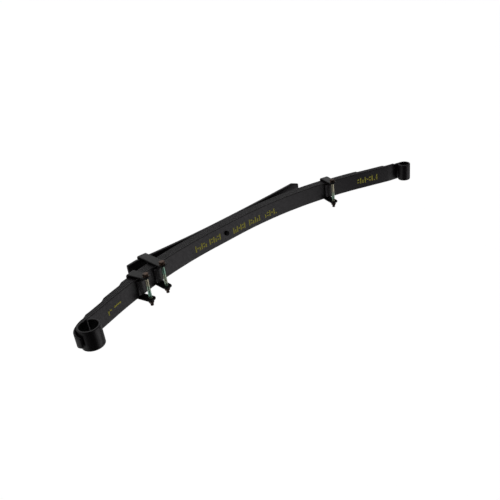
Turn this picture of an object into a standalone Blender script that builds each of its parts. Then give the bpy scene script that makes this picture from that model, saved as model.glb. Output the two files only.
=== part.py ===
"""A multi-leaf spring with an overload leaf, three bolted clips and a centre bolt.

Units are metres. X runs from the front eye to the rear eye, Y across the leaf width,
Z up, towards the hollow side of the bow. The origin is the centre of the end face of
the centre bolt's dowel head.

Each leaf is split into a seat, a front and a rear section at two circles, so that the
front and rear halves of the pack can swing as stiff arms about the circles' centres.
"""

import math

import bmesh
import bpy
from mathutils import Matrix, Vector

# Leaf stock.
LEAF_HALF_WIDTH = 0.030
LEAF_PITCH = 0.0065
GAP = 0.0003
LEAF_THICKNESS = LEAF_PITCH - GAP
LEAF_COUNT = 5
PACK_DEPTH = LEAF_COUNT * LEAF_PITCH - GAP

# Centre bolt.
DOWEL_RISE = 0.006
DOWEL_RADIUS = 0.0075
CENTRE_BOLT_RADIUS = 0.006
CENTRE_NUT_ACROSS = 0.019
CENTRE_NUT_HEIGHT = 0.010
THREAD_BEYOND_NUT = 0.003
# The dowel head bears on a shallow spot face in the main leaf.
SPOT_FACE_DEPTH = 0.0004

# Shape of each half of the main leaf's upper face: a flat, an arc, then a straight end
# that dips a little where it is rolled into the eye. "side" is the sign of X.
FRONT = {
    "side": -1,
    "flat": 0.0563,
    "radius": 1.314,
    "turn": math.radians(18.6),
    "eye_station": 0.6036,
    "eye_bore_radius": 0.025,
    "eye_wrap": math.radians(315),
    "dip_start": 0.545,
    "dip": 0.0028,
}
REAR = {
    "side": 1,
    "flat": 0.0595,
    "radius": 1.201,
    "turn": math.radians(24.7),
    "eye_station": 0.7544,
    "eye_bore_radius": 0.0155,
    "eye_wrap": math.radians(306),
    "dip_start": 0.690,
    "dip": 0.0056,
}

# Distance along the main face from the centre bolt to each leaf's two ends.
LEAF_FRONT_ENDS = {3: 0.588, 4: 0.507, 5: 0.427}
LEAF_REAR_ENDS = {2: 0.742, 3: 0.700, 4: 0.593, 5: 0.468}
TIP_TRIM_LENGTH = 0.020
TIP_HALF_WIDTH = 0.021

# The second leaf's wrap round the front eye: it follows the eye, eases away from it, then
# hooks round its front with a gap, and narrows as it goes.
WRAP_CONTACT_TURN = math.radians(8)
WRAP_EASE_RADIUS = 0.085
WRAP_EASE_TURN = math.radians(8)
WRAP_HOOK_RADIUS = 0.031
WRAP_HOOK_TURN = math.radians(88)
WRAP_TAPER_LENGTH = 0.075
WRAP_END_HALF_WIDTH = 0.0155

# Where the pack is split: circles about the flex pivots.
PIVOT_STATION = 0.160
PIVOT_DEPTH = 0.01625
SPLIT_RADIUS = 0.022
SPLIT_CLEARANCE = 0.0006
BISECTIONS = 40

# Overload leaf.
OVERLOAD_THICKNESS = 0.0100
OVERLOAD_FRONT_LENGTH = 0.344
OVERLOAD_REAR_LENGTH = 0.397
OVERLOAD_FRONT_DROOP = 0.17
OVERLOAD_REAR_DROOP = 0.065
OVERLOAD_TRIM_LENGTH = 0.031
OVERLOAD_FRONT_TIP_HALF_WIDTH = 0.025
OVERLOAD_REAR_TIP_HALF_WIDTH = 0.018

# Clips.
STRAP_HALF_WIDTH = 0.014
STRAP_THICKNESS = 0.005
STRAP_INNER_HALF = 0.034
STRAP_BEND_RADIUS = 0.005
STRAP_TIP_ABOVE_BOLT = 0.012
# Each arm's rounded tip: (share of its height above the bolt, share of its half width).
STRAP_TIP_OUTLINE = ((1.0, 0.45), (0.75, 0.80), (0.3, 1.0))
STRAP_BEND_STEPS = 4
CLIP_BOLT_RADIUS = 0.005
CLIP_HEAD_ACROSS = 0.0155
CLIP_HEAD_HEIGHT = 0.009
HEAD_CHAMFER = 0.001
CLIP_NUT_ACROSS = 0.0145
CLIP_NUT_HEIGHT = 0.0095
CLIP_NUT_FLANGE_RADIUS = 0.0105
CLIP_NUT_FLANGE_HEIGHT = 0.002
CLIP_THREAD_BEYOND_NUT = 0.009
RIVET_RADIUS = 0.004
RIVET_HEAD_RADIUS = 0.0075
RIVET_HEAD_HEIGHT = 0.0035
# The domed head: (share of its height, share of its radius).
RIVET_HEAD_OUTLINE = ((1.0, 0.55), (0.6, 0.88), (0.0, 1.0))
PAD_HALF_LENGTH = 0.016
PAD_HALF_WIDTH = 0.021
PAD_HEIGHT = 0.0115
# One flank of a pad: (share of its half length, share of its height).
PAD_OUTLINE = ((-1.0, 0.25), (-0.92, 0.58), (-0.74, 0.85), (-0.45, 1.0))

FRONT_OUTER_STATION = 0.367
FRONT_OUTER_BOLT_RISE = 0.028
REAR_CLIP_STATION = 0.449
REAR_BOLT_RISE = 0.026
FRONT_INNER_X = 0.288
FRONT_INNER_BOLT_Z = 0.041
FRONT_INNER_PAD_STATION = 0.294

STATION_STEP = 0.020
ROUND_SIDES = 24
HEX_FLAT_TURN = math.radians(60)
EYE_STEP = math.radians(9)

BLACK_PAINT = ((0.03, 0.03, 0.032, 1.0), 0.45, 0.0)
CLIP_PAINT = ((0.05, 0.05, 0.052, 1.0), 0.40, 0.0)
ZINC = ((0.72, 0.70, 0.58, 1.0), 0.28, 1.0)
BARE_STEEL = ((0.35, 0.34, 0.33, 1.0), 0.40, 1.0)
RUBBER = ((0.02, 0.02, 0.02, 1.0), 0.80, 0.0)


def clear_scene():
    for obj in list(bpy.data.objects):
        bpy.data.objects.remove(obj, do_unlink=True)


def paint(obj, finish):
    """Give the object a material of its own."""
    colour, roughness, metallic = finish
    material = bpy.data.materials.new(obj.name + "_finish")
    material.use_nodes = True
    shader = material.node_tree.nodes["Principled BSDF"]
    shader.inputs["Base Color"].default_value = colour
    shader.inputs["Roughness"].default_value = roughness
    shader.inputs["Metallic"].default_value = metallic
    obj.data.materials.append(material)


def new_object(name, shape, finish, matrix=None):
    """Turn a bmesh into an object with outward faces."""
    bmesh.ops.recalc_face_normals(shape, faces=shape.faces)
    mesh = bpy.data.meshes.new(name)
    shape.to_mesh(mesh)
    shape.free()
    obj = bpy.data.objects.new(name, mesh)
    if matrix is not None:
        obj.matrix_world = matrix
    bpy.context.scene.collection.objects.link(obj)
    if finish is not None:
        paint(obj, finish)
    return obj


def smooth_step(value):
    value = min(max(value, 0.0), 1.0)
    return value * value * (3.0 - 2.0 * value)


def face_point(end, station):
    """A point of the main leaf's upper face and the leaf's slope there."""
    arc = end["radius"] * end["turn"]
    beyond = station - end["flat"]
    turn = min(max(beyond, 0.0), arc) / end["radius"]
    x = min(station, end["flat"]) + end["radius"] * math.sin(turn)
    z = end["radius"] * (1.0 - math.cos(turn)) - DOWEL_RISE
    straight = max(beyond - arc, 0.0)
    x += straight * math.cos(turn)
    z += straight * math.sin(turn)
    run = end["eye_station"] - end["dip_start"]
    share = min(max((station - end["dip_start"]) / run, 0.0), 1.0)
    dip = end["dip"] * smooth_step(share)
    slope = turn - 6.0 * end["dip"] * share * (1.0 - share) / run
    return x + dip * math.sin(turn), z - dip * math.cos(turn), slope


def pack_point(end, station, depth):
    """A point at a depth below the main leaf's upper face, square to the leaf."""
    x, z, slope = face_point(end, station)
    x += depth * math.sin(slope)
    z -= depth * math.cos(slope)
    return end["side"] * x, z


def pivot_of(end):
    return pack_point(end, PIVOT_STATION, PIVOT_DEPTH)


def split_station(end, depth, radius):
    """The station, on the seat side of the pivot, where a depth line meets a circle."""
    centre = Vector(pivot_of(end))
    near, far = PIVOT_STATION - 2.0 * radius, PIVOT_STATION
    for _ in range(BISECTIONS):
        middle = 0.5 * (near + far)
        distance = (Vector(pack_point(end, middle, depth)) - centre).length
        if distance > radius:
            near = middle
        else:
            far = middle
    return 0.5 * (near + far)


def tip_half_width(distance, full, tip, trim):
    """Half width at a distance from a trimmed tip."""
    return tip + (full - tip) * min(distance / trim, 1.0)


def strip(name, sections, finish, matrix=None):
    """Loft a flat bar through sections of (upper point, lower point, half width).

    The points lie in the XZ plane, or in that plane of the matrix, and the bar is as wide
    along Y as each section says.
    """
    shape = bmesh.new()
    rings = []
    for upper, lower, half_width in sections:
        corners = (
            (upper[0], half_width, upper[1]),
            (upper[0], -half_width, upper[1]),
            (lower[0], -half_width, lower[1]),
            (lower[0], half_width, lower[1]),
        )
        rings.append([shape.verts.new(corner) for corner in corners])
    for first, second in zip(rings, rings[1:]):
        for side in range(4):
            after = (side + 1) % 4
            shape.faces.new((first[side], first[after], second[after], second[side]))
    shape.faces.new(rings[0])
    shape.faces.new(list(reversed(rings[-1])))
    return new_object(name, shape, finish, matrix)


def hex_reach(across, angle):
    """Distance from a hexagon's centre to its edge in a direction."""
    half = 0.5 * HEX_FLAT_TURN
    return 0.5 * across / math.cos((angle + half) % HEX_FLAT_TURN - half)


def turned(name, profile, finish, matrix, bore_radius=None):
    """Loft rings along Z: each profile entry is (z, size, "round" radius or "hex" across).

    With a bore radius the piece is a sleeve, open at both ends.
    """
    shape = bmesh.new()
    if bore_radius is not None:
        profile = list(profile)
        profile.append((profile[-1][0], bore_radius, "round"))
        profile.append((profile[0][0], bore_radius, "round"))
    rings = []
    for z, size, form in profile:
        ring = []
        for index in range(ROUND_SIDES):
            angle = 2.0 * math.pi * index / ROUND_SIDES
            reach = size if form == "round" else hex_reach(size, angle)
            ring.append(shape.verts.new((reach * math.cos(angle), reach * math.sin(angle), z)))
        rings.append(ring)
    pairs = list(zip(rings, rings[1:]))
    if bore_radius is not None:
        pairs.append((rings[-1], rings[0]))
    else:
        shape.faces.new(rings[0])
        shape.faces.new(rings[-1])
    for first, second in pairs:
        for index in range(ROUND_SIDES):
            after = (index + 1) % ROUND_SIDES
            face = shape.faces.new((first[index], first[after], second[after], second[index]))
            face.smooth = True
    return new_object(name, shape, finish, matrix)


def drill(obj, radius, length, matrix):
    """Bore a round hole, centred on the matrix's origin, along its Z axis."""
    profile = ((-0.5 * length, radius, "round"), (0.5 * length, radius, "round"))
    cutter = turned(obj.name + "_drill", profile, None, matrix)
    cutter.hide_render = True
    cutter.display_type = "WIRE"
    cut = obj.modifiers.new("hole_" + cutter.name, "BOOLEAN")
    cut.operation = "DIFFERENCE"
    cut.solver = "EXACT"
    cut.object = cutter


def pack_frame(end, station, depth):
    """A frame on the pack: Z square to the leaf and up, X along the leaf, rearwards."""
    x, z = pack_point(end, station, depth)
    slope = face_point(end, station)[2] * end["side"]
    return Matrix.Translation((x, 0.0, z)) @ Matrix.Rotation(-slope, 4, "Y")


def stations_between(first, last):
    count = max(2, math.ceil(abs(last - first) / STATION_STEP))
    return [first + (last - first) * index / count for index in range(count + 1)]


def leaf_depths(number):
    upper = (number - 1) * LEAF_PITCH
    return upper, upper + LEAF_THICKNESS


def leaf_section(end, number, stations, half_width=LEAF_HALF_WIDTH):
    """A leaf's section at one station for its upper face and one for its lower face."""
    points = [pack_point(end, *pair) for pair in zip(stations, leaf_depths(number))]
    return points[0], points[1], half_width


def leaf_run(end, number, starts, stops):
    """Evenly spaced sections of a leaf from one pair of stations to another."""
    count = math.ceil((max(stops) - min(starts)) / STATION_STEP)
    sections = []
    for index in range(count + 1):
        share = index / count
        stations = [start + (stop - start) * share for start, stop in zip(starts, stops)]
        sections.append(leaf_section(end, number, stations))
    return sections


def seat_section(number):
    """The clamped middle of a leaf, ending at the two split circles."""
    depths = leaf_depths(number)
    halves = []
    for end in (FRONT, REAR):
        limits = [split_station(end, depth, SPLIT_RADIUS + SPLIT_CLEARANCE) for depth in depths]
        halves.append(leaf_run(end, number, (0.0, 0.0), limits))
    front, rear = halves
    obj = strip(f"leaf_{number}_seat", list(reversed(front)) + rear[1:], BLACK_PAINT)
    middle = 0.5 * sum(depths) + DOWEL_RISE
    hole = Matrix.Translation((0.0, 0.0, -middle))
    drill(obj, CENTRE_BOLT_RADIUS + GAP, 4.0 * LEAF_THICKNESS, hole)
    return obj


def arm_sections(end, number, last):
    """Sections of a leaf from its split circle out to a station."""
    starts = [split_station(end, depth, SPLIT_RADIUS) for depth in leaf_depths(number)]
    return leaf_run(end, number, starts, (last, last))


def trimmed_leaf(name, end, number, last):
    """A leaf's arm whose tip has its corners cut off."""
    sections = arm_sections(end, number, last - TIP_TRIM_LENGTH)
    sections.append(leaf_section(end, number, (last, last), TIP_HALF_WIDTH))
    return strip(name, sections, BLACK_PAINT)


def eye_centre(end):
    x, z = pack_point(end, end["eye_station"], -end["eye_bore_radius"])
    return Vector((x, z))


def rim_sections(centre, inner, outer, start, turn):
    """Sections of a bar bent round a centre, from a start angle through a turn."""
    count = math.ceil(abs(turn) / EYE_STEP)
    sections = []
    for index in range(1, count + 1):
        angle = start + turn * index / count
        ray = Vector((math.cos(angle), math.sin(angle)))
        sections.append((centre + inner * ray, centre + outer * ray, LEAF_HALF_WIDTH))
    return sections


def rolled_leaf(name, end):
    """The main leaf's arm with the eye rolled at its end."""
    sections = arm_sections(end, 1, end["eye_station"])
    start = -0.5 * math.pi + end["side"] * end["turn"]
    bore = end["eye_bore_radius"]
    sections += rim_sections(
        eye_centre(end), bore, bore + LEAF_THICKNESS, start, end["side"] * end["eye_wrap"]
    )
    return strip(name, sections, BLACK_PAINT)


def bend_on(sections, centre, old_radius, radius, start, turn):
    """Bend a bar on round a new centre, so that its outer face stays smooth."""
    ray = Vector((math.cos(start), math.sin(start)))
    centre = centre + (old_radius - radius) * ray
    sections += rim_sections(centre, radius - LEAF_THICKNESS, radius, start, turn)
    return centre


def narrow_towards_end(sections, length, half_width):
    """Taper a bar's width evenly over a length measured back from its end."""
    narrowed = []
    distance = 0.0
    after = sections[-1]
    for section in reversed(sections):
        distance += (Vector(after[1]) - Vector(section[1])).length
        after = section
        taper = tip_half_width(distance, section[2], half_width, length)
        narrowed.append((section[0], section[1], taper))
    return list(reversed(narrowed))


def wrapped_leaf(name):
    """The second leaf's front arm, which ends in a hook in front of the eye."""
    end = FRONT
    sections = arm_sections(end, 2, end["eye_station"])
    outer = end["eye_bore_radius"] + LEAF_PITCH + LEAF_THICKNESS
    angle = -0.5 * math.pi - end["turn"]
    bends = (
        (outer, WRAP_CONTACT_TURN),
        (WRAP_EASE_RADIUS, WRAP_EASE_TURN),
        (WRAP_HOOK_RADIUS, WRAP_HOOK_TURN),
    )
    centre = eye_centre(end)
    before = outer
    for radius, turn in bends:
        centre = bend_on(sections, centre, before, radius, angle, -turn)
        before = radius
        angle -= turn
    sections = narrow_towards_end(sections, WRAP_TAPER_LENGTH, WRAP_END_HALF_WIDTH)
    return strip(name, sections, BLACK_PAINT)


def overload_leaf():
    """The thick, nearly straight lowest leaf, which droops away from the pack."""
    ends = (
        (-1, OVERLOAD_FRONT_LENGTH, OVERLOAD_FRONT_DROOP, OVERLOAD_FRONT_TIP_HALF_WIDTH),
        (1, OVERLOAD_REAR_LENGTH, OVERLOAD_REAR_DROOP, OVERLOAD_REAR_TIP_HALF_WIDTH),
    )
    sections = []
    for side, length, droop, tip in ends:
        half = []
        stations = stations_between(0.0, length - OVERLOAD_TRIM_LENGTH)
        stations += stations_between(length - OVERLOAD_TRIM_LENGTH, length)[1:]
        for station in stations:
            slope = 2.0 * droop * station
            top = -DOWEL_RISE - PACK_DEPTH - GAP - droop * station * station
            half_width = tip_half_width(
                length - station, LEAF_HALF_WIDTH, tip, OVERLOAD_TRIM_LENGTH
            )
            lower = (
                side * (station - OVERLOAD_THICKNESS * math.sin(slope)),
                top - OVERLOAD_THICKNESS * math.cos(slope),
            )
            half.append(((side * station, top), lower, half_width))
        sections = list(reversed(half)) if side < 0 else sections + half[1:]
    obj = strip("overload_leaf", sections, BLACK_PAINT)
    below = -DOWEL_RISE - PACK_DEPTH - GAP - 0.5 * OVERLOAD_THICKNESS
    drill(
        obj,
        CENTRE_BOLT_RADIUS + GAP,
        4.0 * OVERLOAD_THICKNESS,
        Matrix.Translation((0.0, 0.0, below)),
    )
    return obj


def strap_sections(base_depth):
    """A U-shaped strap in its own YZ plane: down one arm, along the base, up the other."""
    bend = STRAP_BEND_RADIUS
    outer = bend + STRAP_THICKNESS
    half = []
    for height_share, width_share in STRAP_TIP_OUTLINE:
        height = height_share * STRAP_TIP_ABOVE_BOLT
        inner_point = (STRAP_INNER_HALF, height)
        outer_point = (STRAP_INNER_HALF + STRAP_THICKNESS, height)
        half.append((inner_point, outer_point, width_share * STRAP_HALF_WIDTH))
    centre = Vector((STRAP_INNER_HALF - bend, bend - base_depth))
    for index in range(STRAP_BEND_STEPS + 1):
        angle = -0.5 * math.pi * index / STRAP_BEND_STEPS
        ray = Vector((math.cos(angle), math.sin(angle)))
        half.append((centre + bend * ray, centre + outer * ray, STRAP_HALF_WIDTH))
    other = []
    for inner_point, outer_point, half_width in reversed(half):
        mirrored = ((-inner_point[0], inner_point[1]), (-outer_point[0], outer_point[1]))
        other.append((mirrored[0], mirrored[1], half_width))
    return half + other


def base_frame(frame, base_depth, shear):
    """A frame on the strap's base, tilted to follow a sheared strap."""
    tilt = Matrix.Rotation(-math.atan(shear), 4, "Y")
    return frame @ Matrix.Translation((0.0, 0.0, -base_depth)) @ tilt


def clip(name, frame, base_depth, rivet_depth, shear=0.0):
    """A strap, its bolt with a flange nut, and the rivet that holds its base.

    The frame's origin is on the bolt's axis. The strap's base lies base_depth below it
    and the rivet reaches rivet_depth above the strap's base.
    """
    across = Matrix.Rotation(0.5 * math.pi, 4, "Z")
    slant = Matrix.Identity(4)
    slant[2][0] = shear
    strap = strip(name + "_strap", strap_sections(base_depth), CLIP_PAINT)
    strap.data.transform(frame @ slant @ across)
    along_y = frame @ Matrix.Rotation(0.5 * math.pi, 4, "X")
    drill(strap, CLIP_BOLT_RADIUS + GAP, 4.0 * STRAP_INNER_HALF, along_y)
    base = base_frame(frame, base_depth, shear)
    drill(strap, RIVET_RADIUS + GAP, 4.0 * STRAP_THICKNESS, base)

    seat = STRAP_INNER_HALF + STRAP_THICKNESS + GAP
    nut_end = seat + CLIP_NUT_HEIGHT
    turned(
        name + "_bolt",
        (
            (-seat - CLIP_HEAD_HEIGHT, CLIP_HEAD_ACROSS - HEAD_CHAMFER, "hex"),
            (-seat - CLIP_HEAD_HEIGHT + HEAD_CHAMFER, CLIP_HEAD_ACROSS, "hex"),
            (-seat, CLIP_HEAD_ACROSS, "hex"),
            (-seat, CLIP_BOLT_RADIUS, "round"),
            (nut_end + CLIP_THREAD_BEYOND_NUT - HEAD_CHAMFER, CLIP_BOLT_RADIUS, "round"),
            (nut_end + CLIP_THREAD_BEYOND_NUT, CLIP_BOLT_RADIUS - HEAD_CHAMFER, "round"),
        ),
        ZINC,
        along_y,
    )
    turned(
        name + "_nut",
        (
            (seat, CLIP_NUT_FLANGE_RADIUS, "round"),
            (seat + CLIP_NUT_FLANGE_HEIGHT, CLIP_NUT_FLANGE_RADIUS, "round"),
            (seat + CLIP_NUT_FLANGE_HEIGHT, CLIP_NUT_ACROSS, "hex"),
            (nut_end, CLIP_NUT_ACROSS, "hex"),
        ),
        ZINC,
        along_y,
        CLIP_BOLT_RADIUS + GAP,
    )
    under = -STRAP_THICKNESS - GAP
    profile = []
    for height, radius in RIVET_HEAD_OUTLINE:
        profile.append((under - height * RIVET_HEAD_HEIGHT, radius * RIVET_HEAD_RADIUS, "round"))
    profile.append((under, RIVET_RADIUS, "round"))
    profile.append((rivet_depth, RIVET_RADIUS, "round"))
    turned(name + "_rivet", profile, BARE_STEEL, base)


def pad(name, end, station):
    """A low rubber buffer with rounded flanks on the main leaf, under a clip's bolt."""
    flank = [(x * PAD_HALF_LENGTH, z * PAD_HEIGHT) for x, z in PAD_OUTLINE]
    line = flank + [(-x, z) for x, z in reversed(flank)]
    sections = [((x, z + GAP), (x, GAP), PAD_HALF_WIDTH) for x, z in line]
    strip(name, sections, RUBBER, pack_frame(end, station, 0.0))


def centre_bolt():
    below = -DOWEL_RISE - PACK_DEPTH - 2.0 * GAP - OVERLOAD_THICKNESS
    tip = below - CENTRE_NUT_HEIGHT - THREAD_BEYOND_NUT
    turned(
        "centre_bolt",
        (
            (tip, CENTRE_BOLT_RADIUS - HEAD_CHAMFER, "round"),
            (tip + HEAD_CHAMFER, CENTRE_BOLT_RADIUS, "round"),
            (GAP - DOWEL_RISE, CENTRE_BOLT_RADIUS, "round"),
            (GAP - DOWEL_RISE, DOWEL_RADIUS, "round"),
            (0.0, DOWEL_RADIUS, "round"),
        ),
        BARE_STEEL,
        Matrix.Identity(4),
    )
    turned(
        "centre_bolt_nut",
        (
            (below - CENTRE_NUT_HEIGHT, CENTRE_NUT_ACROSS, "hex"),
            (below, CENTRE_NUT_ACROSS, "hex"),
        ),
        BARE_STEEL,
        Matrix.Identity(4),
        CENTRE_BOLT_RADIUS + GAP,
    )


def hang_on_pivot(end, name, belongs):
    """Parent an arm's pieces to an empty on its flex axis, and leave them in place."""
    x, z = pivot_of(end)
    axis = bpy.data.objects.new(name, None)
    axis.location = (x, 0.0, z)
    bpy.context.scene.collection.objects.link(axis)
    bpy.context.view_layer.update()
    for obj in bpy.data.objects:
        if obj is not axis and belongs(obj.name):
            obj.parent = axis
            obj.matrix_parent_inverse = axis.matrix_world.inverted()


def in_front_arm(name):
    leaf = name.startswith("leaf_") and "_front" in name
    return leaf or name.startswith(("front_outer_", "front_inner_pad"))


def in_rear_arm(name):
    leaf = name.startswith("leaf_") and "_rear" in name
    return leaf or name.startswith("rear_")


def rivet_hole(obj, frame):
    drill(obj, RIVET_RADIUS + GAP, 4.0 * OVERLOAD_THICKNESS, frame)


def build():
    clear_scene()
    main_seat, *_ = [seat_section(number) for number in range(1, LEAF_COUNT + 1)]
    spot_face = Matrix.Translation((0.0, 0.0, -DOWEL_RISE))
    drill(main_seat, DOWEL_RADIUS + GAP, 2.0 * SPOT_FACE_DEPTH, spot_face)

    rolled_leaf("leaf_1_front", FRONT)
    rolled_leaf("leaf_1_rear", REAR)
    wrapped_leaf("leaf_2_front")
    fronts = {}
    rears = {}
    for number, last in LEAF_FRONT_ENDS.items():
        fronts[number] = trimmed_leaf(f"leaf_{number}_front", FRONT, number, last)
    for number, last in LEAF_REAR_ENDS.items():
        rears[number] = trimmed_leaf(f"leaf_{number}_rear", REAR, number, last)

    rivet_hole(fronts[LEAF_COUNT], pack_frame(FRONT, FRONT_OUTER_STATION, PACK_DEPTH))
    rivet_hole(rears[LEAF_COUNT], pack_frame(REAR, REAR_CLIP_STATION, PACK_DEPTH))

    overload = overload_leaf()
    centre_bolt()

    base_depth = FRONT_OUTER_BOLT_RISE + PACK_DEPTH + GAP
    frame = pack_frame(FRONT, FRONT_OUTER_STATION, -FRONT_OUTER_BOLT_RISE)
    clip("front_outer_clip", frame, base_depth, LEAF_THICKNESS)
    pad("front_outer_pad", FRONT, FRONT_OUTER_STATION)

    base_depth = REAR_BOLT_RISE + PACK_DEPTH + GAP
    frame = pack_frame(REAR, REAR_CLIP_STATION, -REAR_BOLT_RISE)
    clip("rear_clip", frame, base_depth, LEAF_THICKNESS)
    pad("rear_pad", REAR, REAR_CLIP_STATION)

    slope = 2.0 * OVERLOAD_FRONT_DROOP * FRONT_INNER_X
    droop = OVERLOAD_FRONT_DROOP * FRONT_INNER_X**2
    underside = -DOWEL_RISE - PACK_DEPTH - GAP - droop - OVERLOAD_THICKNESS / math.cos(slope)
    base_depth = FRONT_INNER_BOLT_Z - underside + 2.0 * GAP
    frame = Matrix.Translation((-FRONT_INNER_X, 0.0, FRONT_INNER_BOLT_Z))
    rivet_hole(overload, base_frame(frame, base_depth, math.tan(slope)))
    clip("front_inner_clip", frame, base_depth, OVERLOAD_THICKNESS, math.tan(slope))
    pad("front_inner_pad", FRONT, FRONT_INNER_PAD_STATION)

    hang_on_pivot(FRONT, "front_arm_flex_axis", in_front_arm)
    hang_on_pivot(REAR, "rear_arm_flex_axis", in_rear_arm)


build()
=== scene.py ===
"""The looks of a multi-leaf spring with an overload leaf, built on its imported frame."""

import math

import bpy
from mathutils import Matrix, Vector


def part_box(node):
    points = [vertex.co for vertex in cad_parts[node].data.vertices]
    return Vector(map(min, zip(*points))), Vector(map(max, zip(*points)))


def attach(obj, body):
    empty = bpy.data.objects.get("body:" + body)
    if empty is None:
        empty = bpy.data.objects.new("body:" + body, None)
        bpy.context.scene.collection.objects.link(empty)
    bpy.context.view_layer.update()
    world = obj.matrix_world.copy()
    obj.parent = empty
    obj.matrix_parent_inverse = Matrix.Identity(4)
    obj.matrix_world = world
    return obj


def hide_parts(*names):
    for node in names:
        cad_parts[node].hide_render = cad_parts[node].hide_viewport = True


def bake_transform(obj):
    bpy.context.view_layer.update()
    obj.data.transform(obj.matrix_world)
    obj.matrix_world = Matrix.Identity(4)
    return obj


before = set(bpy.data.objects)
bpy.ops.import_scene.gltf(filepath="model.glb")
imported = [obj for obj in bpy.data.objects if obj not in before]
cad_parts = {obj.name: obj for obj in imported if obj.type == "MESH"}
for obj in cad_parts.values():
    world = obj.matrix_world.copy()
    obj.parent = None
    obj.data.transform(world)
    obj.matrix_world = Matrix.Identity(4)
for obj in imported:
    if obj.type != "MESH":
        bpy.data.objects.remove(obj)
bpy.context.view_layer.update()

# Leaf stock, as in the CAD model. Lengths are in metres.
LEAF_HALF_WIDTH = 0.030
LEAF_PITCH = 0.0065
LEAF_THICKNESS = 0.0062
LEAF_COUNT = 5
PACK_DEPTH = 0.0322
LEAF_CORNER = 0.0027
SUPPORT_OFFSET = 0.0008
LEAF_STEP = 0.012
FINE_STEP = 0.004
TIP_ROUNDING = 0.0010
GAP = 0.0003

# Centre bolt. Its dowel head stands on the main leaf's upper face.
CENTRE_BOLT_RADIUS = 0.006
DOWEL_RADIUS = 0.0075
DOWEL_RISE = 0.006
DOWEL_BEVEL = 0.0011
CENTRE_NUT_ACROSS = 0.019
DOWEL_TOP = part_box("centre_bolt")[1].z
MAIN_FACE = DOWEL_TOP - DOWEL_RISE

# Each half of the main leaf's upper face: a flat, an arc, then a straight end that dips
# a little where it is rolled into the eye.
FRONT = {
    "name": "front",
    "side": -1,
    "flat": 0.0563,
    "radius": 1.314,
    "turn": math.radians(18.6),
    "eye_station": 0.6036,
    "eye_bore_radius": 0.025,
    "eye_wrap": math.radians(315),
    "dip_start": 0.545,
    "dip": 0.0028,
    "leaf_ends": {3: 0.588, 4: 0.507, 5: 0.427},
}
REAR = {
    "name": "rear",
    "side": 1,
    "flat": 0.0595,
    "radius": 1.201,
    "turn": math.radians(24.7),
    "eye_station": 0.7544,
    "eye_bore_radius": 0.0155,
    "eye_wrap": math.radians(306),
    "dip_start": 0.690,
    "dip": 0.0056,
    "leaf_ends": {2: 0.742, 3: 0.700, 4: 0.593, 5: 0.468},
}
TIP_TRIM_LENGTH = 0.020
TIP_HALF_WIDTH = 0.021
# Faces this close to an eye's bore are its inside; they and the roll's end are painted near-black, as
# painted shade.
BORE_SKIN = 0.001

# The second leaf's wrap: it follows the front eye, eases away, then hooks round its front.
WRAP_CONTACT_TURN = math.radians(8)
WRAP_EASE_RADIUS = 0.085
WRAP_EASE_TURN = math.radians(8)
WRAP_HOOK_RADIUS = 0.031
WRAP_HOOK_TURN = math.radians(88)
WRAP_TAPER_LENGTH = 0.075
WRAP_END_HALF_WIDTH = 0.0155

# Overload leaf.
OVERLOAD_THICKNESS = 0.0100
OVERLOAD_CORNER = 0.0030
OVERLOAD_ENDS = (
    {"side": -1, "length": 0.344, "droop": 0.17, "tip_half_width": 0.025},
    {"side": 1, "length": 0.397, "droop": 0.065, "tip_half_width": 0.018},
)
OVERLOAD_TRIM_LENGTH = 0.031
OVERLOAD_TIP_ROUNDING = 0.0015

# Clips.
STRAP_HALF_WIDTH = 0.014
STRAP_THICKNESS = 0.005
STRAP_CORNER = 0.0018
STRAP_INNER_HALF = 0.034
STRAP_BEND_RADIUS = 0.005
STRAP_TIP_ABOVE_BOLT = 0.012
STRAP_TIP_ROUNDING = 0.0006
STRAP_BEND_STEPS = 8
BOLT_RADIUS = 0.005
BOLT_HEAD_ACROSS = 0.0155
BOLT_HEAD_HEIGHT = 0.009
WASHER_THICKNESS = 0.0014
NUT_ACROSS = 0.0145
NUT_HEIGHT = 0.0095
NUT_FLANGE_RADIUS = 0.0105
NUT_FLANGE_HEIGHT = 0.002
THREAD_BEYOND_NUT = 0.009
THREAD_PITCH = 0.0015
THREAD_DEPTH = 0.00055
THREAD_START = STRAP_INNER_HALF - 0.008
THREAD_STEPS_A_TURN = 6
RIVET_HEAD_RADIUS = 0.0075
RIVET_HEAD_HEIGHT = 0.0035
RIVET_RADIUS = 0.004
PAD_HALF_LENGTH = 0.016
PAD_HALF_WIDTH = 0.021
PAD_HEIGHT = 0.0115
PAD_STEPS = 24
# Each end of a pad is rounded: (share of its half width, share of its section's size).
PAD_END = ((1.0, 0.86), (0.985, 0.93), (0.95, 0.98), (0.88, 1.0))
# How square a pad's section is, along the leaf and upwards: 1 is round, 0 is square.
PAD_ROUND_ALONG = 0.75
PAD_ROUND_UP = 0.55

FRONT_OUTER_STATION = 0.367
FRONT_OUTER_BOLT_RISE = 0.028
REAR_CLIP_STATION = 0.449
REAR_BOLT_RISE = 0.026
FRONT_INNER_X = 0.288
FRONT_INNER_BOLT_Z = 0.041
FRONT_INNER_PAD_STATION = 0.294

# Edges sharper than these angles, in degrees, are shaded as edges.
BAR_EDGE = 50.0
TURNED_EDGE = 32.0

# Stencil marks: rows of plain ticks and dashes on the main leaf.
MARK_LIFT = 0.00012
MARK_STROKE = 0.0048
MARK_HALF_HEIGHT = 0.0105
MARK_DASH_SHARE = 0.76

# How brightly the floor and the air light the object, and how bright the camera sees them.
STAGE_GLOW = 0.28
WORLD_GLOW = 0.02
STAGE_WHITE = 1.0
FLOOR_HALF_SIZE = 60.0
FLOOR_LEVEL = -4.0

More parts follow.
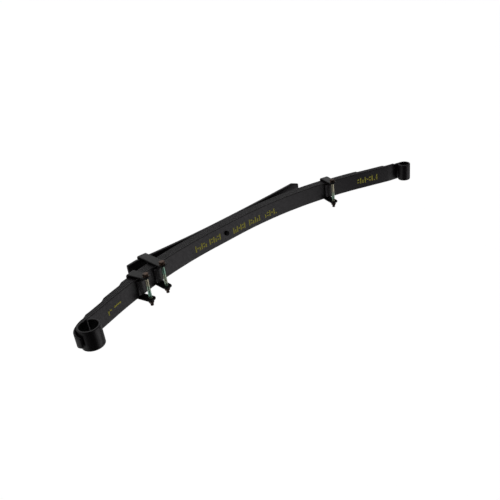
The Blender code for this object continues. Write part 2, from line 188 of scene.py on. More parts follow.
# Studio lights: name, place, what it faces, size, power in watts and colour.
NEUTRAL = (1.0, 1.0, 1.0)
LIGHTS = (
    ("main_softbox", (1.8, -1.7, 2.2), (0.1, 0.0, 0.1), (2.6, 2.6), 16.5, (1.0, 0.975, 1.0)),
    ("edge_card", (0.45, 0.45, -0.45), (0.45, 0.0, 0.1), (1.9, 0.9), 1.3, NEUTRAL),
    ("top_softbox", (-0.2, 2.4, 0.6), (0.0, 0.0, 0.0), (2.4, 1.0), 6.0, NEUTRAL),
    ("ridge_card", (0.91, 1.07, 0.75), (0.0, 0.0, 0.05), (1.6, 0.25), 1.5, NEUTRAL),
    ("back_softbox", (-0.6, -2.2, -0.1), (0.0, 0.0, 0.05), (2.6, 0.7), 6.0, NEUTRAL),
    ("low_card", (-1.1, -0.5, 0.1), (-0.6, 0.0, 0.12), (0.5, 0.3), 0.08, NEUTRAL),
    ("pad_card", (-0.62, -0.28, 0.02), (-0.36, 0.0, 0.06), (0.25, 0.25), 0.1, NEUTRAL),
)

CAMERA_PLACE = Vector((-1.0837, 0.8556, 1.3614))
CAMERA_FORWARD = Vector((0.57465, -0.46986, -0.67008))
CAMERA_UP = Vector((0.40327, 0.87504, -0.26774))
CAMERA_LENS = 43.29
CAMERA_SENSOR = 36.0


# ---------------------------------------------------------------- materials


def feed(tree, socket, value):
    """Link another node's output into a socket, or give the socket a plain value."""
    if isinstance(value, bpy.types.NodeSocket):
        tree.links.new(value, socket)
    else:
        socket.default_value = value


def node(tree, kind, inputs=None, **settings):
    made = tree.nodes.new(kind)
    for name, value in settings.items():
        setattr(made, name, value)
    for name, value in (inputs or {}).items():
        feed(tree, made.inputs[name], value)
    return made


def noise(tree, scale, detail=4.0, roughness=0.55, stretch=None):
    """A noise in the object's own metres, stretched along an axis if asked."""
    place = node(tree, "ShaderNodeTexCoord").outputs["Object"]
    if stretch:
        place = node(
            tree, "ShaderNodeMapping", {"Vector": place, "Scale": stretch}
        ).outputs["Vector"]
    inputs = {"Vector": place, "Scale": scale, "Detail": detail, "Roughness": roughness}
    return node(tree, "ShaderNodeTexNoise", inputs).outputs["Fac"]


def ramp(tree, factor, low, high, low_value, high_value):
    inputs = {
        "Value": factor,
        "From Min": low,
        "From Max": high,
        "To Min": low_value,
        "To Max": high_value,
    }
    return node(tree, "ShaderNodeMapRange", inputs).outputs["Result"]


def mix_colour(tree, factor, first, second):
    mix = node(tree, "ShaderNodeMix", data_type="RGBA")
    for name, value in (("Factor", factor), ("A", first), ("B", second)):
        sockets = [socket for socket in mix.inputs if socket.name == name and socket.enabled]
        feed(tree, sockets[-1], value)
    return [socket for socket in mix.outputs if socket.enabled][0]


def multiply(tree, first, second):
    made = node(tree, "ShaderNodeMath", operation="MULTIPLY")
    for socket, value in zip(made.inputs, (first, second)):
        feed(tree, socket, value)
    return made.outputs[0]


def new_material(name, metallic=0.0, specular=0.5):
    material = bpy.data.materials.new(name)
    material.use_nodes = True
    shader = material.node_tree.nodes["Principled BSDF"]
    shader.inputs["Metallic"].default_value = metallic
    shader.inputs["Specular IOR Level"].default_value = specular
    return material, material.node_tree, shader


def bump(tree, shader, layers):
    """Stack bumps: each layer is (height, strength, distance)."""
    normal = None
    for height, strength, distance in layers:
        inputs = {"Height": height, "Strength": strength, "Distance": distance}
        if normal is not None:
            inputs["Normal"] = normal
        normal = node(tree, "ShaderNodeBump", inputs).outputs["Normal"]
    tree.links.new(normal, shader.inputs["Normal"])


def paint_material(name, dark, light, edge, roughness, specular):
    """Black paint on hot-rolled steel: faint mottling, dust and scale pits, worn edges."""
    material, tree, shader = new_material(name, specular=specular)
    mottle = ramp(tree, noise(tree, 45.0, stretch=(0.35, 1.0, 1.0)), 0.35, 0.65, 0.0, 1.0)
    colour = mix_colour(tree, mottle, dark, light)
    dust = ramp(tree, noise(tree, 900.0, 2.0), 0.68, 0.80, 0.0, 0.12)
    colour = mix_colour(tree, dust, colour, edge)
    wear = node(tree, "ShaderNodeAttribute", attribute_name="wear").outputs["Fac"]
    rubbed = ramp(tree, noise(tree, 260.0, 5.0, 0.7), 0.42, 0.70, 0.15, 1.0)
    colour = mix_colour(tree, multiply(tree, wear, rubbed), colour, edge)
    tree.links.new(colour, shader.inputs["Base Color"])
    patchy = ramp(tree, noise(tree, 120.0, 3.0), 0.3, 0.7, roughness - 0.06, roughness + 0.08)
    tree.links.new(patchy, shader.inputs["Roughness"])
    bump(
        tree,
        shader,
        (
            (noise(tree, 420.0, 3.0), 0.10, 0.0004),
            (noise(tree, 40.0, 2.0, stretch=(0.5, 1.0, 1.0)), 0.15, 0.0008),
        ),
    )
    return material


def zinc_material(name, first, second):
    """Zinc plate whose cast drifts over the surface, with a few brown stains."""
    material, tree, shader = new_material(name, metallic=1.0)
    cast = ramp(tree, noise(tree, 28.0, 2.0), 0.40, 0.60, 0.0, 1.0)
    colour = mix_colour(tree, cast, first, second)
    stain = ramp(tree, noise(tree, 300.0, 4.0), 0.58, 0.72, 0.0, 0.6)
    colour = mix_colour(tree, stain, colour, (0.20, 0.13, 0.08, 1.0))
    tree.links.new(colour, shader.inputs["Base Color"])
    tree.links.new(
        ramp(tree, noise(tree, 500.0, 3.0), 0.3, 0.7, 0.34, 0.50), shader.inputs["Roughness"]
    )
    bump(tree, shader, ((noise(tree, 1500.0, 2.0), 0.12, 0.0002),))
    return material


def steel_material():
    """Dark oiled steel of the rivets and the centre bolt's nut."""
    material, tree, shader = new_material("oiled_steel", metallic=0.85)
    patch = ramp(tree, noise(tree, 220.0, 4.0), 0.4, 0.62, 0.0, 1.0)
    colour = mix_colour(tree, patch, (0.055, 0.052, 0.050, 1.0), (0.16, 0.12, 0.09, 1.0))
    tree.links.new(colour, shader.inputs["Base Color"])
    tree.links.new(
        ramp(tree, noise(tree, 350.0, 3.0), 0.3, 0.7, 0.35, 0.60), shader.inputs["Roughness"]
    )
    bump(tree, shader, ((noise(tree, 900.0, 3.0), 0.2, 0.0003),))
    return material


def rubber_material():
    """Moulded rubber: dull, slightly bloomed, with a fine grain."""
    material, tree, shader = new_material("moulded_rubber", specular=0.5)
    bloom = ramp(tree, noise(tree, 90.0, 4.0), 0.35, 0.7, 0.0, 1.0)
    colour = mix_colour(tree, bloom, (0.070, 0.064, 0.069, 1.0), (0.090, 0.083, 0.088, 1.0))
    tree.links.new(colour, shader.inputs["Base Color"])
    shader.inputs["Roughness"].default_value = 0.42
    bump(tree, shader, ((noise(tree, 2200.0, 2.0), 0.25, 0.0003),))
    return material


def stencil_material():
    """Thin yellow paint, patchy where it skipped over the mottled surface."""
    material, tree, shader = new_material("stencil_yellow", specular=0.3)
    patch = ramp(tree, noise(tree, 380.0, 4.0), 0.30, 0.55, 0.0, 1.0)
    colour = mix_colour(tree, patch, (0.50, 0.47, 0.060, 1.0), (0.90, 0.84, 0.10, 1.0))
    tree.links.new(colour, shader.inputs["Base Color"])
    shader.inputs["Roughness"].default_value = 0.6
    bump(tree, shader, ((noise(tree, 700.0, 3.0), 0.3, 0.0002),))
    return material


def stage_material():
    """A white floor that looks evenly lit, and lights the object only softly."""
    material, tree, shader = new_material("stage_white", specular=0.0)
    shader.inputs["Base Color"].default_value = (0.2, 0.2, 0.2, 1.0)
    shader.inputs["Roughness"].default_value = 0.9
    shader.inputs["Emission Color"].default_value = (1.0, 1.0, 1.0, 1.0)
    seen = node(tree, "ShaderNodeLightPath").outputs["Is Camera Ray"]
    strength = ramp(tree, seen, 0.0, 1.0, STAGE_GLOW, STAGE_WHITE)
    tree.links.new(strength, shader.inputs["Emission Strength"])
    return material


LEAF_PAINT = paint_material(
    "leaf_paint_black",
    dark=(0.0100, 0.0074, 0.0100, 1.0),
    light=(0.0140, 0.0108, 0.0142, 1.0),
    edge=(0.046, 0.042, 0.046, 1.0),
    roughness=0.36,
    specular=0.5,
)
CLIP_PAINT = paint_material(
    "clip_paint_black",
    dark=(0.0090, 0.0086, 0.0092, 1.0),
    light=(0.0140, 0.0134, 0.0138, 1.0),
    edge=(0.060, 0.056, 0.055, 1.0),
    roughness=0.34,
    specular=0.32,
)
ZINC = zinc_material("bright_zinc", (0.72, 0.68, 0.50, 1.0), (0.38, 0.66, 0.52, 1.0))
DARK_ZINC = zinc_material("dark_zinc", (0.120, 0.092, 0.080, 1.0), (0.240, 0.155, 0.120, 1.0))
# Near-black paint used as painted shade: on the eye bores, the roll ends and the centre bolt's head.
PAINTED_SHADE_BLACK = paint_material(
    "painted_shade_black",
    dark=(0.0030, 0.0030, 0.0030, 1.0),
    light=(0.0050, 0.0048, 0.0046, 1.0),
    edge=(0.020, 0.016, 0.013, 1.0),
    roughness=0.55,
    specular=0.12,
)
STEEL = steel_material()
RUBBER = rubber_material()
STENCIL = stencil_material()


# ---------------------------------------------------------------- mesh making


def lofted(name, rings, material, wear=None, closed=False):
    """Skin a row of equal rings of points; "wear" gives each ring point's edge wear."""
    count = len(rings[0])
    points = [point for ring in rings for point in ring]
    faces = []
    last = len(rings) if closed else len(rings) - 1
    for row in range(last):
        below = row * count
        above = ((row + 1) % len(rings)) * count
        for index in range(count):
            after = (index + 1) % count
            faces.append((below + index, below + after, above + after, above + index))
    if not closed:
        faces.append(tuple(reversed(range(count))))
        faces.append(tuple(range(last * count, (last + 1) * count)))
    mesh = bpy.data.meshes.new(name)
    mesh.from_pydata([tuple(point) for point in points], [], faces)
    mesh.validate()
    mesh.update()
    for polygon in mesh.polygons:
        polygon.use_smooth = len(polygon.vertices) == 4
    if wear is not None:
        layer = mesh.attributes.new("wear", "FLOAT", "POINT")
        layer.data.foreach_set("value", list(wear) * len(rings))
    mesh.materials.append(material)
    obj = bpy.data.objects.new(name, mesh)
    bpy.context.scene.collection.objects.link(obj)
    face_outwards(obj)
    return obj


def face_outwards(obj):
    """Flip a closed mesh whose faces point inwards."""
    mesh = obj.data
    volume = 0.0
    for polygon in mesh.polygons:
        corners = [mesh.vertices[i].co for i in polygon.vertices]
        for second, third in zip(corners[1:], corners[2:]):
            volume += corners[0].dot(second.cross(third))
    if volume < 0.0:
        mesh.flip_normals()


def rounded_bar(half_width, thickness, corner, steps=5):
    """Points round a bar's section as (across, depth, wear), with support points."""
    corner = min(corner, 0.45 * thickness, 0.8 * half_width)
    support = min(corner + SUPPORT_OFFSET, half_width)
    middles = (
        (half_width - corner, corner, 0.0),
        (half_width - corner, thickness - corner, 0.5),
        (corner - half_width, thickness - corner, 1.0),
        (corner - half_width, corner, 1.5),
    )
    points = []
    for across, depth, quarter in middles:
        for step in range(steps + 1):
            angle = math.pi * (quarter - 0.5 + 0.5 * step / steps)
            round_across = across + corner * math.cos(angle)
            round_depth = depth + corner * math.sin(angle)
            wear = math.sin(math.pi * step / steps)
            points.append((round_across, round_depth, wear))
    flat = half_width - support
    top_right, bottom_right = (flat, 0.0, 0.0), (flat, thickness, 0.0)
    bottom_left, top_left = (-flat, thickness, 0.0), (-flat, 0.0, 0.0)
    half = 2 * (steps + 1)
    return [
        top_right,
        *points[:half],
        bottom_right,
        bottom_left,
        *points[half:],
        top_left,
    ]


def bar(name, sections, corner, material, matrix=None):
    """A bar through sections of (upper, lower, half width, inset) in the XZ plane.

    The inset shrinks a section all round, which rounds an end.
    """
    rings = []
    for upper, lower, half_width, inset in sections:
        upper = Vector(upper)
        lower = Vector(lower)
        thickness = (lower - upper).length
        down = (lower - upper) / thickness
        start = upper + down * inset
        section = rounded_bar(half_width - inset, thickness - 2.0 * inset, corner)
        wear = [point[2] for point in section]
        ring = []
        for across, depth, _ in section:
            place = start + down * depth
            ring.append(Vector((place.x, across, place.y)))
        rings.append(ring)
    if matrix is not None:
        rings = [[matrix @ point for point in ring] for ring in rings]
    return with_sharp_rims(lofted(name, rings, material, wear), BAR_EDGE)


def hex_at(across, share):
    """A hexagon's reach by angle, cut off at a share of its width across flats."""
    sixth = math.radians(60)

    def reach(angle):
        off_flat = (angle + 0.5 * sixth) % sixth - 0.5 * sixth
        return across * min(0.5 / math.cos(off_flat), share)

    return reach


def turned(name, profile, material, matrix, bore=None, sides=48):
    """Rings along Z from a profile of (z, reach), where reach is a radius or f(angle)."""
    profile = list(profile)
    if bore is not None:
        profile += [(profile[-1][0], bore), (profile[0][0], bore)]
    rings = []
    for z, reach in profile:
        ring = []
        for index in range(sides):
            angle = 2.0 * math.pi * index / sides
            radius = reach(angle) if callable(reach) else reach
            ring.append(matrix @ Vector((radius * math.cos(angle), radius * math.sin(angle), z)))
        rings.append(ring)
    return lofted(name, rings, material, closed=bore is not None)


def with_sharp_rims(obj, degrees=TURNED_EDGE):
    """Mark edges sharper than an angle, so that only gentle turns shade smoothly."""
    obj.data.set_sharp_from_angle(angle=math.radians(degrees))
    return obj


# ---------------------------------------------------------------- pack geometry


def face_point(end, station):
    """A point of the main leaf's upper face and the leaf's slope there."""
    arc = end["radius"] * end["turn"]
    beyond = station - end["flat"]
    turn = min(max(beyond, 0.0), arc) / end["radius"]
    straight = max(beyond - arc, 0.0)
    x = min(station, end["flat"]) + end["radius"] * math.sin(turn) + straight * math.cos(turn)
    z = MAIN_FACE + end["radius"] * (1.0 - math.cos(turn)) + straight * math.sin(turn)
    run = end["eye_station"] - end["dip_start"]
    share = min(max((station - end["dip_start"]) / run, 0.0), 1.0)
    dip = end["dip"] * share * share * (3.0 - 2.0 * share)
    slope = turn - 6.0 * end["dip"] * share * (1.0 - share) / run
    return x + dip * math.sin(turn), z - dip * math.cos(turn), slope


def pack_point(end, station, depth):
    x, z, slope = face_point(end, station)
    return Vector((end["side"] * (x + depth * math.sin(slope)), z - depth * math.cos(slope)))


def pack_frame(end, station, depth):
    """A frame on the pack: Z square to the leaf and up, X along the leaf, rearwards."""
    place = pack_point(end, station, depth)
    slope = face_point(end, station)[2] * end["side"]
    return Matrix.Translation((place.x, 0.0, place.y)) @ Matrix.Rotation(-slope, 4, "Y")


def run_of(first, last, step):
    count = max(1, math.ceil((last - first) / step))
    return [first + (last - first) * index / count for index in range(count + 1)]


def leaf_depths(number):
    upper = (number - 1) * LEAF_PITCH
    return upper, upper + LEAF_THICKNESS


def leaf_section(end, number, station, half_width=LEAF_HALF_WIDTH, inset=0.0):
    upper, lower = leaf_depths(number)
    return (pack_point(end, station, upper), pack_point(end, station, lower), half_width, inset)


def straight_run(end, number, last):
    stations = run_of(0.0, min(end["dip_start"], last), LEAF_STEP)
    if last > end["dip_start"]:
        stations += run_of(end["dip_start"], last, FINE_STEP)[1:]
    return [leaf_section(end, number, station) for station in stations]


def trimmed_leaf(end, number):
    """Half of a leaf whose tip has its corners cut off."""
    last = end["leaf_ends"][number]
    sections = straight_run(end, number, last - TIP_TRIM_LENGTH)
    for share in (0.15, 0.5, 0.85, 0.97, 1.0):
        station = last - TIP_TRIM_LENGTH * (1.0 - share)
        half_width = LEAF_HALF_WIDTH + (TIP_HALF_WIDTH - LEAF_HALF_WIDTH) * share
        inset = {0.97: 0.35 * TIP_ROUNDING, 1.0: TIP_ROUNDING}.get(share, 0.0)
        sections.append(leaf_section(end, number, station, half_width, inset))
    return bar(f"leaf_{number}_{end['name']}_look", sections, LEAF_CORNER, LEAF_PAINT)


def eye_centre(end):
    return pack_point(end, end["eye_station"], -end["eye_bore_radius"])


def rim(centre, inner, outer, start, turn, step=math.radians(5)):
    count = math.ceil(abs(turn) / step)
    sections = []
    for index in range(1, count + 1):
        angle = start + turn * index / count
        ray = Vector((math.cos(angle), math.sin(angle)))
        sections.append((centre + inner * ray, centre + outer * ray, LEAF_HALF_WIDTH, 0.0))
    return sections


def rounded_end(sections):
    """Shrink the last section so that the bar's end has rounded edges."""
    upper, lower, half_width, _ = sections[-1]
    return sections[:-1] + [(upper, lower, half_width, TIP_ROUNDING)]


def eye_leaf(end):
    """Half of the main leaf, rolled into its eye, with its bore and roll end painted near-black as
    painted shade.
    """
    sections = straight_run(end, 1, end["eye_station"])
    start = -0.5 * math.pi + end["side"] * end["turn"]
    bore = end["eye_bore_radius"]
    turn = end["side"] * end["eye_wrap"]
    sections += rim(eye_centre(end), bore, bore + LEAF_THICKNESS, start, turn)
    name = f"leaf_1_{end['name']}_look"
    leaf = bar(name, rounded_end(sections), LEAF_CORNER, LEAF_PAINT)
    leaf.data.materials.append(PAINTED_SHADE_BLACK)
    centre = eye_centre(end)
    for polygon in leaf.data.polygons:
        is_end = len(polygon.vertices) > 4
        reach = bore + (LEAF_THICKNESS if is_end else BORE_SKIN)
        polygon.material_index = int((polygon.center.xz - centre).length < reach)
    return leaf


def wrap_leaf():
    """The second leaf's front half: it follows the eye, then hooks round its front."""
    sections = straight_run(FRONT, 2, FRONT["eye_station"])
    before = FRONT["eye_bore_radius"] + LEAF_PITCH + LEAF_THICKNESS
    angle = -0.5 * math.pi - FRONT["turn"]
    centre = eye_centre(FRONT)
    bends = (
        (before, WRAP_CONTACT_TURN),
        (WRAP_EASE_RADIUS, WRAP_EASE_TURN),
        (WRAP_HOOK_RADIUS, WRAP_HOOK_TURN),
    )
    for radius, turn in bends:
        centre = centre + (before - radius) * Vector((math.cos(angle), math.sin(angle)))
        sections += rim(centre, radius - LEAF_THICKNESS, radius, angle, -turn, math.radians(4))
        before = radius
        angle -= turn
    narrowed = []
    distance = 0.0
    last = sections[-1]
    for upper, lower, half_width, inset in reversed(sections):
        distance += (lower - last[1]).length
        last = (upper, lower)
        share = min(distance / WRAP_TAPER_LENGTH, 1.0)
        taper = WRAP_END_HALF_WIDTH + (half_width - WRAP_END_HALF_WIDTH) * share
        narrowed.append((upper, lower, taper, inset))
    narrowed.reverse()
    return bar("leaf_2_front_look", rounded_end(narrowed), LEAF_CORNER, LEAF_PAINT)


def bend_with(obj):
    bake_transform(obj)


def build_leaves():
    for end in (FRONT, REAR):
        for number in range(1, LEAF_COUNT + 1):
            if number == 1:
                obj = eye_leaf(end)
            elif number in end["leaf_ends"]:
                obj = trimmed_leaf(end, number)
            else:
                obj = wrap_leaf()
            arm = f"leaf_{number}_{end['name']}"
            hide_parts(arm, f"leaf_{number}_seat")
            bend_with(obj)


def build_overload():
    """The thick lowest leaf, which droops away from the pack at both ends."""
    top = MAIN_FACE - PACK_DEPTH - GAP
    sections = []
    for end in OVERLOAD_ENDS:
        length, trim = end["length"], OVERLOAD_TRIM_LENGTH
        stations = run_of(0.0, length - trim, LEAF_STEP)
        stations += [length - trim * share for share in (0.85, 0.5, 0.15, 0.03, 0.0)]
        half = []
        for station in stations:
            slope = 2.0 * end["droop"] * station
            z = top - end["droop"] * station * station
            share = max(0.0, 1.0 - (length - station) / trim)
            half_width = LEAF_HALF_WIDTH + (end["tip_half_width"] - LEAF_HALF_WIDTH) * share
            lower = Vector((
                end["side"] * (station - OVERLOAD_THICKNESS * math.sin(slope)),
                z - OVERLOAD_THICKNESS * math.cos(slope),
            ))
            inset = OVERLOAD_TIP_ROUNDING if station == length else 0.0
            half.append((Vector((end["side"] * station, z)), lower, half_width, inset))
        sections = list(reversed(half)) if end["side"] < 0 else sections + half[1:]
    obj = bar("overload_leaf_look", sections, OVERLOAD_CORNER, LEAF_PAINT)
    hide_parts("overload_leaf")
    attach(obj, "seat")


# ---------------------------------------------------------------- clips


def strap(name, frame_matrix, base_depth, shear):
    """A U-shaped strap with rounded arm ends and rolled bends."""
    bend, outer = STRAP_BEND_RADIUS, STRAP_BEND_RADIUS + STRAP_THICKNESS
    half = []
    for share in (0.0, 0.02, 0.08, 0.18, 0.32, 0.5, 0.75, 1.0):
        height = STRAP_TIP_ABOVE_BOLT - share * STRAP_HALF_WIDTH
        width = STRAP_HALF_WIDTH * max(0.02, 1.0 - (1.0 - share) ** 3.0) ** 0.4
        inner_point = Vector((STRAP_INNER_HALF, height))
        outer_point = Vector((STRAP_INNER_HALF + STRAP_THICKNESS, height))
        inset = STRAP_TIP_ROUNDING if share == 0.0 else 0.0
        half.append((inner_point, outer_point, width, inset))
    centre = Vector((STRAP_INNER_HALF - bend, bend - base_depth))
    for index in range(STRAP_BEND_STEPS + 1):
        angle = -0.5 * math.pi * index / STRAP_BEND_STEPS
        ray = Vector((math.cos(angle), math.sin(angle)))
        half.append((centre + bend * ray, centre + outer * ray, STRAP_HALF_WIDTH, 0.0))
    other = []
    for inner_point, outer_point, width, inset in reversed(half):
        inner_point = Vector((-inner_point.x, inner_point.y))
        outer_point = Vector((-outer_point.x, outer_point.y))
        other.append((inner_point, outer_point, width, inset))
    across = Matrix.Rotation(0.5 * math.pi, 4, "Z")
    slant = Matrix.Identity(4)
    slant[2][0] = shear
    return bar(name, half + other, STRAP_CORNER, CLIP_PAINT, frame_matrix @ slant @ across)


def thread(z):
    """A thread's outline at one height, as a function of the angle round it."""
    def reach(angle):
        turn = (z / THREAD_PITCH - angle / (2.0 * math.pi)) % 1.0
        return BOLT_RADIUS - THREAD_DEPTH * abs(2.0 * turn - 1.0)
    return reach


def clip_bolt(name, matrix, seat, nut_end):
    """A bolt with a bevelled head on a washer, zinc between the strap's arms."""
    head = -seat - BOLT_HEAD_HEIGHT
    across = BOLT_HEAD_ACROSS
    profile = [
        (head, 0.36 * across),
        (head, 0.40 * across),
        (head + 0.0005, hex_at(across, 0.46)),
        (head + 0.0012, hex_at(across, 0.54)),
        (head + 0.0018, hex_at(across, 0.60)),
        (-seat - WASHER_THICKNESS - 0.0004, hex_at(across, 0.60)),
        (-seat - WASHER_THICKNESS, 0.62 * across),
        (-seat, 0.62 * across),
        (-seat, BOLT_RADIUS),
        (THREAD_START - 0.002, BOLT_RADIUS),
    ]
    tip = nut_end + THREAD_BEYOND_NUT
    step = THREAD_PITCH / THREAD_STEPS_A_TURN
    for index in range(round((tip - THREAD_START) / step)):
        z = THREAD_START + index * step
        profile.append((z, thread(z)))
    profile += [(tip - 0.0004, 0.86 * BOLT_RADIUS), (tip, 0.72 * BOLT_RADIUS)]
    bolt = with_sharp_rims(turned(name, profile, ZINC, matrix))
    bolt.data.materials.append(DARK_ZINC)
    along = matrix.inverted()
    for polygon in bolt.data.polygons:
        z = (along @ polygon.center).z
        polygon.material_index = int(abs(z) > seat)
    return bolt


def flange_nut(name, matrix, seat, nut_end):
    flange = seat + NUT_FLANGE_HEIGHT
    profile = (
        (seat, NUT_FLANGE_RADIUS - 0.0004),
        (seat + 0.0004, NUT_FLANGE_RADIUS),
        (seat + 0.0010, NUT_FLANGE_RADIUS),
        (flange, 0.60 * NUT_ACROSS),
        (flange + 0.0006, hex_at(NUT_ACROSS, 0.60)),
        (nut_end - 0.0016, hex_at(NUT_ACROSS, 0.60)),
        (nut_end - 0.0008, hex_at(NUT_ACROSS, 0.54)),
        (nut_end, hex_at(NUT_ACROSS, 0.47)),
        (nut_end, BOLT_RADIUS + 0.0009),
    )
    return with_sharp_rims(turned(name, profile, DARK_ZINC, matrix, bore=BOLT_RADIUS + GAP))


def rivet(name, matrix, depth):
    under = -STRAP_THICKNESS - GAP
    profile = [(under - RIVET_HEAD_HEIGHT, 0.0008)]
    for step in range(1, 9):
        angle = 0.5 * math.pi * step / 8
        reach = RIVET_HEAD_RADIUS * math.sin(angle)
        profile.append((under - RIVET_HEAD_HEIGHT * math.cos(angle), reach))
    profile += [(under, RIVET_RADIUS), (depth, RIVET_RADIUS)]
    return with_sharp_rims(turned(name, profile, STEEL, matrix, sides=40))


def clip(name, body, frame_matrix, base_depth, rivet_depth, shear=0.0):
    along_y = frame_matrix @ Matrix.Rotation(0.5 * math.pi, 4, "X")
    tilt = Matrix.Rotation(-math.atan(shear), 4, "Y")
    base = frame_matrix @ Matrix.Translation((0.0, 0.0, -base_depth)) @ tilt
    seat = STRAP_INNER_HALF + STRAP_THICKNESS + GAP
    nut_end = seat + NUT_HEIGHT
    made = {
        "strap": strap(name + "_strap_look", frame_matrix, base_depth, shear),
        "bolt": clip_bolt(name + "_bolt_look", along_y, seat, nut_end),
        "nut": flange_nut(name + "_nut_look", along_y, seat, nut_end),
        "rivet": rivet(name + "_rivet_look", base, rivet_depth),
    }
    for part, obj in made.items():
        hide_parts(f"{name}_{part}")
        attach(obj, body)


def pad(name, body, end, station):
    """A low rubber buffer with soft flanks and rounded ends."""
    outline = []
    for step in range(PAD_STEPS + 1):
        angle = math.pi * step / PAD_STEPS
        x = math.copysign(abs(math.cos(angle)) ** PAD_ROUND_ALONG, math.cos(angle))
        z = math.sin(angle) ** PAD_ROUND_UP
        outline.append((PAD_HALF_LENGTH * x, PAD_HEIGHT * z))
    place = pack_frame(end, station, 0.0)
    ends = [(-share, size) for share, size in PAD_END] + list(reversed(PAD_END))
    rings = []
    for share, size in ends:
        y = share * PAD_HALF_WIDTH
        rings.append([place @ Vector((size * x, y, GAP + size * z)) for x, z in outline])
    obj = with_sharp_rims(lofted(name + "_look", rings, RUBBER), BAR_EDGE)
    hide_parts(name)
    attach(obj, body)


def build_clips():
    depth = FRONT_OUTER_BOLT_RISE + PACK_DEPTH + GAP
    place = pack_frame(FRONT, FRONT_OUTER_STATION, -FRONT_OUTER_BOLT_RISE)
    clip("front_outer_clip", "front_arm", place, depth, LEAF_THICKNESS)
    pad("front_outer_pad", "front_arm", FRONT, FRONT_OUTER_STATION)

    depth = REAR_BOLT_RISE + PACK_DEPTH + GAP
    place = pack_frame(REAR, REAR_CLIP_STATION, -REAR_BOLT_RISE)
    clip("rear_clip", "rear_arm", place, depth, LEAF_THICKNESS)
    pad("rear_pad", "rear_arm", REAR, REAR_CLIP_STATION)

    front_droop = OVERLOAD_ENDS[0]["droop"]
    slope = 2.0 * front_droop * FRONT_INNER_X
    underside = MAIN_FACE - PACK_DEPTH - GAP - front_droop * FRONT_INNER_X**2
    underside -= OVERLOAD_THICKNESS / math.cos(slope)
    depth = FRONT_INNER_BOLT_Z - underside + 2.0 * GAP
    place = Matrix.Translation((-FRONT_INNER_X, 0.0, FRONT_INNER_BOLT_Z))
    clip("front_inner_clip", "seat", place, depth, OVERLOAD_THICKNESS, math.tan(slope))
    pad("front_inner_pad", "front_arm", FRONT, FRONT_INNER_PAD_STATION)


def build_centre_bolt():
    low, high = (corner.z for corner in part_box("centre_bolt_nut"))
    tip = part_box("centre_bolt")[0].z
    shank, across = CENTRE_BOLT_RADIUS, CENTRE_NUT_ACROSS
    profile = (
        (tip, 0.8 * shank),
        (tip + 0.0008, shank),
        (high + 0.001, shank),
        (MAIN_FACE + GAP, shank),
        (MAIN_FACE + GAP, DOWEL_RADIUS),
        (DOWEL_TOP - 0.0009, DOWEL_RADIUS),
        (DOWEL_TOP - 0.0003, DOWEL_RADIUS - 0.0004),
        (DOWEL_TOP, DOWEL_RADIUS - DOWEL_BEVEL),
    )
    upright = Matrix.Identity(4)
    # The head is painted near-black as painted shade, so that it reads as a dark recess.
    bolt = with_sharp_rims(turned("centre_bolt_look", profile, PAINTED_SHADE_BLACK, upright))
    outline = (
        (low, hex_at(across, 0.48)),
        (low + 0.0008, hex_at(across, 0.54)),
        (low + 0.0016, hex_at(across, 0.60)),
        (high - 0.0016, hex_at(across, 0.60)),
        (high - 0.0008, hex_at(across, 0.54)),
        (high, hex_at(across, 0.48)),
    )
    nut = turned("centre_bolt_nut_look", outline, STEEL, upright, bore=shank + GAP)
    with_sharp_rims(nut)
    for obj, name in ((bolt, "centre_bolt"), (nut, "centre_bolt_nut")):
        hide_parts(name)
        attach(obj, "seat")


# ---------------------------------------------------------------- stencil marks


def mark_strip(end, first, last, low, high):
    """One painted stroke as rows of points over the main leaf's face."""
    rows = []
    for station in run_of(first, last, FINE_STEP):
        lifted = pack_point(end, station, -MARK_LIFT)
        rows.append([(lifted.x, y, lifted.y) for y in (low, high)])
    return rows


def mark_row(name, end, first, last, middle, pattern):
    """A row of strokes: | full tick, i short tick, - dash, = two dashes, . dot, _ gap."""
    cell = (last - first) / len(pattern)
    tall = MARK_HALF_HEIGHT
    stroke = 0.5 * MARK_STROKE
    reach = 0.5 * MARK_DASH_SHARE * cell
    strokes = []
    for index, sign in enumerate(pattern):
        centre = first + (index + 0.5) * cell
        thin = (centre - stroke, centre + stroke)
        wide = (centre - reach, centre + reach)
        if sign == "|":
            strokes.append((*thin, middle - tall, middle + tall))
        elif sign == "i":
            strokes.append((*thin, middle - tall, middle + 0.2 * tall))
        elif sign == "-":
            strokes.append((*wide, middle - stroke, middle + stroke))
        elif sign == "=":
            for side in (-1, 1):
                offset = middle + 0.5 * side * tall
                strokes.append((*wide, offset - stroke, offset + stroke))
        elif sign == ".":
            strokes.append((*thin, middle - tall, middle - tall + MARK_STROKE))
    points, faces = [], []
    for stroke_first, stroke_last, low, high in strokes:
        rows = mark_strip(end, stroke_first, stroke_last, low, high)
        start = len(points)
        for row in rows:
            points += row
        for row in range(len(rows) - 1):
            corner = start + 2 * row
            faces.append((corner, corner + 1, corner + 3, corner + 2))
    mesh = bpy.data.meshes.new(name)
    mesh.from_pydata(points, [], faces)
    mesh.update()
    if mesh.polygons[0].normal.z < 0.0:
        mesh.flip_normals()
    mesh.materials.append(STENCIL)
    obj = bpy.data.objects.new(name, mesh)
    bpy.context.scene.collection.objects.link(obj)
    bend_with(obj)


def build_marks():
    mark_row("marks_front_tip", FRONT, 0.492, 0.510, 0.001, "-i")
    mark_row("marks_front_dash", FRONT, 0.448, 0.487, 0.001, "-")
    mark_row("marks_front_row", FRONT, 0.025, 0.135, 0.000, "|=i|=|_i=|i-|")
    mark_row("marks_middle_row", REAR, 0.027, 0.084, -0.005, "|i|-|=|")
    mark_row("marks_middle_row_2", REAR, 0.098, 0.151, -0.005, "|=i|i|")
    mark_row("marks_middle_row_3", REAR, 0.170, 0.225, -0.005, "i=|-|.")
    mark_row("marks_rear_row", REAR, 0.566, 0.651, 0.000, "=|i|-=|.|")


# ---------------------------------------------------------------- stage


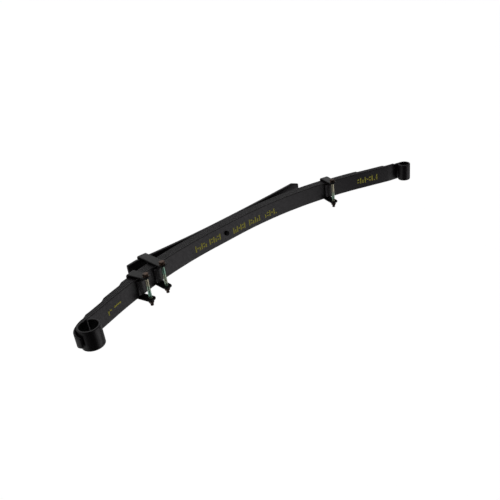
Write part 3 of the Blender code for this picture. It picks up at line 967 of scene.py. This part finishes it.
def area_light(name, place, target, size, power, colour):
    light = bpy.data.lights.new(name, "AREA")
    light.shape = "RECTANGLE"
    light.size, light.size_y = size
    light.energy = power
    light.color = colour
    obj = bpy.data.objects.new(name, light)
    obj.location = place
    aim = Vector(target) - Vector(place)
    obj.rotation_mode = "QUATERNION"
    obj.rotation_quaternion = aim.to_track_quat("-Z", "Y")
    obj.visible_camera = False
    bpy.context.scene.collection.objects.link(obj)


def build_floor():
    size, level = FLOOR_HALF_SIZE, FLOOR_LEVEL
    mesh = bpy.data.meshes.new("floor")
    corners = [(-size, -size, level), (size, -size, level), (size, size, level), (-size, size, level)]
    mesh.from_pydata(corners, [], [(0, 1, 2, 3)])
    mesh.materials.append(stage_material())
    floor = bpy.data.objects.new("floor", mesh)
    bpy.context.scene.collection.objects.link(floor)


def build_world():
    """Air that the camera sees as white and that hardly lights the object."""
    world = bpy.data.worlds.new("studio")
    world.use_nodes = True
    background = world.node_tree.nodes["Background"]
    background.inputs["Color"].default_value = (1.0, 1.0, 1.0, 1.0)
    seen = node(world.node_tree, "ShaderNodeLightPath").outputs["Is Camera Ray"]
    strength = ramp(world.node_tree, seen, 0.0, 1.0, WORLD_GLOW, STAGE_WHITE)
    world.node_tree.links.new(strength, background.inputs["Strength"])
    bpy.context.scene.world = world
    bpy.context.scene.view_settings.view_transform = "Standard"


def build_camera():
    camera = bpy.data.cameras.new("photo_view")
    camera.lens = CAMERA_LENS
    camera.sensor_width = CAMERA_SENSOR
    camera.clip_start = 0.05
    camera.clip_end = 100.0
    obj = bpy.data.objects.new("photo_view", camera)
    forward = CAMERA_FORWARD.normalized()
    right = forward.cross(CAMERA_UP).normalized()
    up = right.cross(forward)
    turn = Matrix((right, up, -forward)).transposed().to_4x4()
    obj.matrix_world = Matrix.Translation(CAMERA_PLACE) @ turn
    bpy.context.scene.collection.objects.link(obj)
    bpy.context.scene.camera = obj


build_leaves()
build_overload()
build_clips()
build_centre_bolt()
build_marks()
build_floor()
build_world()
for light in LIGHTS:
    area_light(*light)
build_camera()
